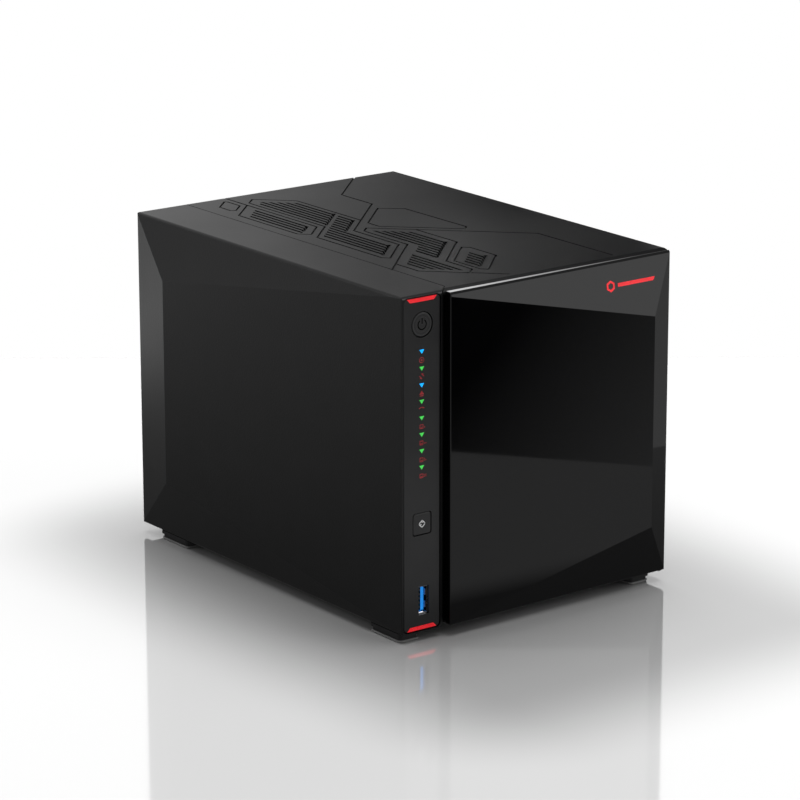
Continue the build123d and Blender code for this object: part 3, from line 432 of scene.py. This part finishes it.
usb_contacts("usb_contacts_front", FRONT_USB[0] + FRONT_TONGUE - TONGUE_HALF, port_low.y, FRONT_USB[1], 1)
for number, z in enumerate(REAR_USB_Z, start=1):
    usb_contacts(f"usb_contacts_rear_{number}", REAR_USB_X + REAR_TONGUE + TONGUE_HALF, port_high.y, z, -1)

# a near-black sheet of painted shade on the right inner wall of the front sleeve with two spring tabs, and a
# tab on its floor
SLEEVE_HALF_WIDTH, SLEEVE_HALF_HEIGHT = 2.5, 6.5
opening_y = port_low.y - 1.2
wall = Placement((FRONT_USB[0] + SLEEVE_HALF_WIDTH, opening_y, FRONT_USB[1]), (0, 1, 0), (0, 0, -1))
# painted shade: this sheet stands for the shade inside the sleeve
sleeve_shade = Piece("usb_sleeve_shade", wall, "case", painted_shade_black)
sleeve_shade.bar(2.0, 0, 3.9, 12.7, -0.05, 0.12, taper=0.01)
sleeve_shade.done(bevel=0.03)
springs = Piece("usb_springs", wall, "case", spring_tint)
for side in (-1, 1):
    springs.bar(1.5, side * 3.1, 1.3, 3.6, 0.0, 0.35, taper=0.25)
springs.done(bevel=0.05)
sleeve_floor = Placement((FRONT_USB[0] - 0.6, opening_y, FRONT_USB[1] - SLEEVE_HALF_HEIGHT),
                         (1, 0, 0), (0, 1, 0))
lip = Piece("usb_floor_tab", sleeve_floor, "case", spring_metal)
lip.bar(0, 1.4, 3.0, 2.2, -0.05, 0.3, taper=0.2)
lip.done(bevel=0.05)

# network sockets: eight spring wires and two light windows in each
JACK_WALL_X, JACK_LIGHT_X, JACKS_Z = -73.0, -64.6, (96.0, 78.0)
rear_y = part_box("network_jacks")[1][1] / MM
for number, z in enumerate(JACKS_Z, start=1):
    side_wall = Placement((JACK_WALL_X, rear_y, z), (0, 1, 0), (0, 0, 1))
    wires = Piece(f"network_wires_{number}", side_wall, "case", gold)
    for k in range(8):
        wires.bar(-6.5, (k - 3.5) * 1.02, 8.0, 0.45, -0.05, 0.9, taper=0.12)
    wires.done(bevel=0.03)
    for side, glass in ((-1, window_amber), (1, window_green)):
        corner = Placement((JACK_LIGHT_X, rear_y, z + side * 5.6), (-1, 0, 0), (0, 0, 1))
        window = Piece(f"network_light_{number}_{(side + 3) // 2}", corner, "case", glass)
        window.bar(0, 0, 3.2, 2.6, -0.3, 0.12, taper=0.06)
        window.done(bevel=0.06)

# a pressed rim round the security slot at the rear, and a blank label plate
panel_face = face_of("rear_panel", "rear")
LOCK_SLOT, RATING_LABEL = (-68.4, 24.0), (0.0, 20.0)
slot_place, label_place = (Placement((x, panel_face.origin.y, z), *SIDES["rear"])
                           for x, z in (LOCK_SLOT, RATING_LABEL))
rim = Piece("lock_slot_rim", slot_place, "case", spring_metal)
rim.ring(0, 0, 4.9, 4.2, -0.3, 0.35, sides=40)
rim.done(bevel=0.08)
plate = Piece("rating_label", label_place, "case", label_white)
plate.bar(0, 0, 62.0, 13.0, -0.1, 0.12)
plate.done(bevel=0.05)

# ---- fan: a ring on the rotor's cap and a blank label on the motor mount ----
cap = Piece("fan_cap", face_of("fan_rotor", "front"), "fan_rotor", materials["fan_plastic"], "fan_plastic")
cap.ring(0, 0, 15.0, 13.6, -0.3, 0.35)
cap.disc(0, 0, 6.0, -0.3, 0.3, sides=40, taper=0.04)
cap.done(bevel=0.1)
label = Piece("fan_label", face_of("fan_frame", "rear"), "case", label_white)
label.disc(0, 0, 17.5, -0.1, 0.1, sides=56)
label.done(bevel=0.03)

# ---- drives, trays and levers ----
COVER_SCREWS = [(u, v) for u in (-66, -2, 60) for v in (-45, 45)]
for bay in (1, 2, 3, 4):
    cover = face_of(f"hard_drive_{bay}", "right")
    tray = f"tray_{bay}"
    label = Piece(f"drive_label_{bay}", cover, tray, label_white)
    label.bar(-14, 4, 66, 62, -0.1, 0.12)
    label.done(bevel=0.05)
    lid = Piece(f"drive_lid_{bay}", cover, tray, materials["drive_metal"], "drive_metal")
    lid.ring(34, 0, 17.0, 15.6, -0.2, 0.35, sides=64)
    lid.disc(34, 0, 6.0, -0.2, 0.4, sides=40, taper=0.05)
    for u, v in COVER_SCREWS:
        lid.disc(u, v, 2.2, -0.2, 0.5, sides=24, taper=0.12)
    lid.done(bevel=0.08)
    # painted shade: dark discs on the screw heads where their recesses lie in shade
    recess_shade = Piece(f"drive_screw_recess_shade_{bay}", cover, tray, painted_shade_black)
    for u, v in COVER_SCREWS:
        recess_shade.disc(u, v, 0.9, 0.3, 0.53, sides=6)
    recess_shade.done()
    lever = face_of(f"tray_latch_{bay}", "front")
    grip = Piece(f"lever_grip_{bay}", lever, f"latch_{bay}", materials["latch_plastic"], "latch_plastic")
    for k in range(6):
        grip.bar(0, -47.5 + k * 2.0, 8.6, 0.8, -0.1, 0.16, taper=0.1)
    grip.done(bevel=0.06)
    knob = face_of(f"tray_button_{bay}", "front")
    tick = Piece(f"release_mark_{bay}", knob, f"release_{bay}", print_grey)
    tick.prism([(-1.5, -0.9), (1.5, -0.9), (0.0, 1.1)], -0.1, 0.06)
    tick.done()
    front = face_of(f"tray_front_{bay}", "front")
    lamps = Piece(f"tray_windows_{bay}", front, tray, window_green)
    for side in (-1, 1):
        lamps.bar(side * 11.4, 60.5, 3.6, 1.2, -0.2, 0.06)
    lamps.done(bevel=0.04)

# ---- boards ----
# places and sizes on the mainboard, in millimetres from its middle: u, v, width, height
MAINBOARD_CHIPS = ((-62, 10, 14, 14), (-70, -20, 9, 9), (28, 36, 12, 8), (34, -10, 10, 10),
                   (62, 10, 8, 12), (30, -44, 9, 6), (-30, -58, 11, 7), (-64, 52, 8, 8))
MAINBOARD_HEADERS = ((48, -50, 6, 14), (-75, 24, 5, 10))
board = face_of("mainboard", "right")
chips = Piece("mainboard_chips", board, "case", materials["chip_black"], "chip_black")
for u, v, width, height in MAINBOARD_CHIPS:
    chips.bar(u, v, width, height, -0.1, 1.3, taper=0.03)
chips.done(bevel=0.08)
cans = Piece("mainboard_capacitors", board, "case", capacitor_metal)
for k in range(6):
    cans.disc(-60 + k * 8.5, -34, 2.6, -0.1, 5.5, taper=0.04)
for k in range(4):
    cans.disc(14 + k * 7.5, 58, 2.6, -0.1, 5.5, taper=0.04)
cans.done(bevel=0.15)
header = Piece("mainboard_headers", board, "case", header_white)
for u, v, width, height in MAINBOARD_HEADERS:
    header.bar(u, v, width, height, -0.1, 5.0, taper=0.03)
header.done(bevel=0.1)
rear_board = face_of("backplane_board", "front")
chips = Piece("backplane_chips", rear_board, "case", materials["chip_black"], "chip_black")
for bay in (1, 2, 3, 4):
    x = face_of(f"tray_front_{bay}", "front").origin.x - rear_board.origin.x
    chips.bar(x + 2, 57, 7, 7, -0.1, 1.2, taper=0.03)
    chips.bar(x + 2, -59, 9, 4, -0.1, 1.2, taper=0.03)
chips.done(bevel=0.08)
modules = Piece("memory_chips", face_of("memory_modules", "top"), "case",
                materials["chip_black"], "chip_black")
for k in range(4):
    modules.bar(2.5, -26 + k * 15.0, 9, 11, -0.1, 0.9, taper=0.03)
modules.done(bevel=0.06)


# ---------------------------------------------------------------- camera
# The photograph's view: a long lens at the front left, slightly above the case.
VIEW_TURN, VIEW_RISE, VIEW_ROLL = radians(-36.91), radians(15.797), radians(-0.078)
CAMERA_PLACE = (-1.07723, -1.43344, 0.58981)
SENSOR_WIDTH, FOCAL_LENGTH = 36.0, 166.458
back = Vector((sin(VIEW_TURN) * cos(VIEW_RISE), -cos(VIEW_TURN) * cos(VIEW_RISE), sin(VIEW_RISE)))
side = Vector((0, 0, 1)).cross(back).normalized()
up = back.cross(side)
camera_data = bpy.data.cameras.new("camera")
camera_data.sensor_width = SENSOR_WIDTH
camera_data.lens = FOCAL_LENGTH
camera_data.clip_start = 0.1
camera_data.clip_end = 50.0
camera = bpy.data.objects.new("camera", camera_data)
bpy.context.scene.collection.objects.link(camera)
spin = Matrix((side, up, back)).transposed().to_4x4() @ Matrix.Rotation(VIEW_ROLL, 4, "Z")
camera.matrix_world = Matrix.Translation(CAMERA_PLACE) @ spin
bpy.context.scene.camera = camera


# ---------------------------------------------------------------- stage: floor, cards and lights
# Fixed directions in the world: away from the photograph's camera along the ground, and to its right.
UP = Vector((0, 0, 1))
ahead = Vector((-back.x, -back.y, 0)).normalized()
floor_side = Vector((-ahead.y, ahead.x, 0))
to_right = -floor_side

FLOOR_BACK, FLOOR_FRONT, FLOOR_HALF_WIDTH, FLOOR_DROP = 0.388, 2.2, 2.2, 0.0002
FLOOR_ROUGHNESS, FLOOR_IOR = 0.06, 2.1
# the painted shade round the case: the floor's colour darkens towards it
SHADE_CENTRE, SHADE_HALF_SIZE = (0.0, -0.04, 0.0), (0.085, 0.15, 0.0)
SHADE_WIDTH, SHADE_NEAR, SHADE_FAR = 0.100, 0.39, 0.77
# The floor's painted reflections: tones that only glossy rays see. Each spread says from where to where, and
# from which tone to which.
ROUND_SPREAD = (0.10, 0.62, 0.095, 0.265)
FRONT_SPREAD = (0.135, 0.18, 0.0, 0.40)
BEHIND_SPREAD = (0.22, 0.30, 0.0, 1.0)
# the line across the door is a painted reflection: the edge between two painted tones of the floor, mirrored
LINE_OUTWARD, LINE_DISTANCE, LINE_SOFTNESS = (0.7622, -0.6474, 0.0), 0.3311, 0.001
LINE_SPREAD = (LINE_DISTANCE, LINE_DISTANCE + LINE_SOFTNESS)
BEYOND_WAY, BEYOND_SPREAD = (1.6626, 1.8272, 0.0), (-0.515, -0.115, 0.0, 0.33)


def plane_object(name, corners, material):
    mesh = bpy.data.meshes.new(name)
    mesh.from_pydata([tuple(c) for c in corners], [], [(0, 1, 2, 3)])
    mesh.materials.append(material)
    made = bpy.data.objects.new(name, mesh)
    bpy.context.scene.collection.objects.link(made)
    return made


class Fades:
    """Short chains of maths nodes for the stage's materials."""

    def __init__(self, shader):
        self.shader = shader

    def vector(self, operation, a, b=None):
        made = self.shader.tree.nodes.new("ShaderNodeVectorMath")
        made.operation = operation
        self.shader.link(a, made.inputs[0])
        if b is not None:
            made.inputs[1].default_value = b
        return made.outputs["Value" if operation in ("LENGTH", "DOT_PRODUCT") else "Vector"]

    def ramp(self, value, start, end, low, high, smooth=True):
        made = self.shader.tree.nodes.new("ShaderNodeMapRange")
        made.interpolation_type = "SMOOTHSTEP" if smooth else "LINEAR"
        for key, number in zip(MAP_INPUTS, (start, end, low, high)):
            made.inputs[key].default_value = number
        self.shader.link(value, made.inputs["Value"])
        return made.outputs["Result"]

    def maths(self, operation, a, b):
        made = self.shader.tree.nodes.new("ShaderNodeMath")
        made.operation = operation
        self.shader.link(a, made.inputs[0])
        self.shader.link(b, made.inputs[1])
        return made.outputs["Value"]


def floor_material():
    """A pale polished floor with a painted shade round the case. Glossy rays see painted reflections instead
    of it, a pattern of tones placed so that the case mirrors what it mirrors in the photograph."""
    shader = Shader("floor", (0.8, 0.8, 0.8), FLOOR_ROUGHNESS, specular=1.0)
    shader.bsdf.inputs["IOR"].default_value = FLOOR_IOR
    fades = Fades(shader)
    # painted shade: the floor's base colour darkens towards the case
    from_centre = fades.vector("ABSOLUTE", fades.vector("SUBTRACT", shader.place, SHADE_CENTRE))
    beyond_box = fades.vector("SUBTRACT", from_centre, SHADE_HALF_SIZE)
    outside = fades.vector("MAXIMUM", beyond_box, (0.0, 0.0, 0.0))
    shade = fades.ramp(fades.vector("LENGTH", outside), 0.0, SHADE_WIDTH, 0.0, 1.0)
    tone = shader.ramp(shade, (*[SHADE_NEAR] * 3, 1.0), (*[SHADE_FAR] * 3, 1.0), 0.0, 1.0)
    shader.link(tone, shader.bsdf.inputs["Base Color"])

    def along(way):
        return fades.vector("DOT_PRODUCT", shader.place, way)

    # painted reflections: tones that glossy rays see in place of the floor
    round_case = fades.ramp(fades.vector("LENGTH", shader.place), *ROUND_SPREAD, smooth=False)
    in_front = fades.ramp(along((0.0, -1.0, 0.0)), *FRONT_SPREAD)
    behind = fades.ramp(along(tuple(ahead)), *BEHIND_SPREAD)
    before_line = fades.ramp(along(LINE_OUTWARD), *LINE_SPREAD, 1.0, 0.0)
    past_line = fades.ramp(along(LINE_OUTWARD), *LINE_SPREAD, 0.0, 1.0)
    beyond = fades.ramp(along(BEYOND_WAY), *BEYOND_SPREAD, smooth=False)
    near_tone = fades.maths("MAXIMUM", fades.maths("MAXIMUM", round_case, in_front), behind)
    near_side = fades.maths("MULTIPLY", near_tone, before_line)
    far_side = fades.maths("MULTIPLY", beyond, past_line)
    mirrored = shader.tree.nodes.new("ShaderNodeEmission")
    shader.link(fades.maths("ADD", near_side, far_side), mirrored.inputs["Strength"])
    ray = shader.tree.nodes.new("ShaderNodeLightPath")
    shader.mix_out(ray.outputs["Is Glossy Ray"], shader.bsdf.outputs["BSDF"], mirrored.outputs["Emission"])
    return shader.material


floor = plane_object("floor", [
    ahead * -FLOOR_FRONT + floor_side * FLOOR_HALF_WIDTH,
    ahead * -FLOOR_FRONT - floor_side * FLOOR_HALF_WIDTH,
    ahead * FLOOR_BACK - floor_side * FLOOR_HALF_WIDTH,
    ahead * FLOOR_BACK + floor_side * FLOOR_HALF_WIDTH], floor_material())
floor.location.z = -FLOOR_DROP


# the distance from a surface at which it stops mirroring a card, and the softness of that limit
CARD_REACH, CARD_REACH_SOFTNESS = 0.36, 0.04
TOP_CARD_DISTANCE, TOP_CARD_FADE = 0.165, (-0.13, 0.06, 0.64, 0.0)
LINE_CARD_DISTANCE, LINE_CARD_FADE = 0.160, (0.02, 0.13, 2.4, 0.25)


def card(name, distance, corners, start, end, low, high):
    """An upright screen behind the case, seen only in reflections, whose glow changes from left to right.
    Its corners are given as metres to the right and up."""
    shader = Shader(name, (0, 0, 0), 1.0, specular=0.0)
    fades = Fades(shader)
    glow = shader.tree.nodes.new("ShaderNodeEmission")
    place = fades.vector("DOT_PRODUCT", shader.place, tuple(to_right))
    shader.link(fades.ramp(place, start, end, low, high, smooth=False), glow.inputs["Strength"])
    path = shader.tree.nodes.new("ShaderNodeLightPath")
    far = fades.ramp(path.outputs["Ray Length"], CARD_REACH, CARD_REACH + CARD_REACH_SOFTNESS, 0.0, 1.0)
    clear = shader.tree.nodes.new("ShaderNodeBsdfTransparent")
    shader.mix_out(far, glow.outputs["Emission"], clear.outputs["BSDF"])
    places = [ahead * distance + to_right * right + UP * height for right, height in corners]
    made = plane_object(name, places, shader.material)
    made.visible_camera = False
    made.visible_diffuse = False
    made.visible_shadow = False
    made.visible_transmission = False


# Behind the case, two screens for the sheen of its top, brighter on the left.
for name, half_width, low, high in (("top_card_low", 0.142, 0.172, 0.225),
                                    ("top_card_high", 0.34, 0.225, 0.46)):
    card(name, TOP_CARD_DISTANCE,
         [(-half_width, low), (half_width, low), (half_width, high), (-half_width, high)], *TOP_CARD_FADE)

# A thin bright strip just in front of that screen, mirrored by the top face of the door.
card("line_card", LINE_CARD_DISTANCE,
     [(0.005, 0.2399), (0.150, 0.2118), (0.150, 0.2198), (0.005, 0.2479)], *LINE_CARD_FADE)


def area_light(name, place, target, width, height, power, glossy=True):
    data = bpy.data.lights.new(name, "AREA")
    data.shape = "RECTANGLE"
    data.size, data.size_y, data.energy = width, height, power
    made = bpy.data.objects.new(name, data)
    bpy.context.scene.collection.objects.link(made)
    direction = Vector(target) - Vector(place)
    made.matrix_world = Matrix.Translation(place) @ direction.to_track_quat("-Z", "Y").to_matrix().to_4x4()
    made.visible_camera = False
    made.visible_glossy = glossy


area_light("overhead", (0.1, 0.08, 1.7), (0, 0, 0.1), 1.5, 1.5, 35.0, glossy=False)
area_light("front_right", (1.0, -1.25, 0.9), (0.0, -0.1, 0.12), 1.2, 0.8, 5.0)
area_light("left_rear", (-1.5, 0.9, 0.9), (-0.05, 0.05, 0.1), 0.9, 0.9, 4.2)


def world_light():
    """White to the camera. For light and reflections, white behind the case, a soft glow low at the front
    right, and grey elsewhere."""
    world = bpy.data.worlds.new("world")
    bpy.context.scene.world = world
    world.use_nodes = True
    tree = world.node_tree
    place = tree.nodes.new("ShaderNodeTexCoord")

    def toward(way, spread):
        """A tone that changes as the direction looked in turns towards one way."""
        closeness = tree.nodes.new("ShaderNodeVectorMath")
        closeness.operation = "DOT_PRODUCT"
        closeness.inputs[1].default_value = way
        tree.links.new(place.outputs["Generated"], closeness.inputs[0])
        tone = tree.nodes.new("ShaderNodeMapRange")
        tone.interpolation_type = "SMOOTHSTEP"
        for key, number in zip(MAP_INPUTS, spread):
            tone.inputs[key].default_value = number
        tree.links.new(closeness.outputs["Value"], tone.inputs["Value"])
        return tone.outputs["Result"]

    both = tree.nodes.new("ShaderNodeMath")
    both.operation = "MAXIMUM"
    tree.links.new(toward(tuple(ahead), WORLD_SPREAD), both.inputs[0])
    tree.links.new(toward(GLOW_WAY, GLOW_SPREAD), both.inputs[1])
    surround = tree.nodes["Background"]
    surround.inputs["Color"].default_value = (1, 1, 1, 1)
    tree.links.new(both.outputs["Value"], surround.inputs["Strength"])
    white = tree.nodes.new("ShaderNodeBackground")
    white.inputs["Color"].default_value = (1, 1, 1, 1)
    ray = tree.nodes.new("ShaderNodeLightPath")
    mix = tree.nodes.new("ShaderNodeMixShader")
    tree.links.new(ray.outputs["Is Camera Ray"], mix.inputs["Fac"])
    tree.links.new(surround.outputs["Background"], mix.inputs[1])
    tree.links.new(white.outputs["Background"], mix.inputs[2])
    tree.links.new(mix.outputs["Shader"], tree.nodes["World Output"].inputs["Surface"])


# the directions' closeness to straight behind the case, and the glow at either end of it
WORLD_SPREAD = (0.55, 0.85, 0.25, 0.95)
# a soft glow low in front on the right, mirrored by the door's upper facet
GLOW_WAY, GLOW_SPREAD = (0.602, -0.789, 0.12), (0.90, 0.99, 0.0, 1.15)
world_light()
bpy.context.scene.view_settings.view_transform = "Standard"
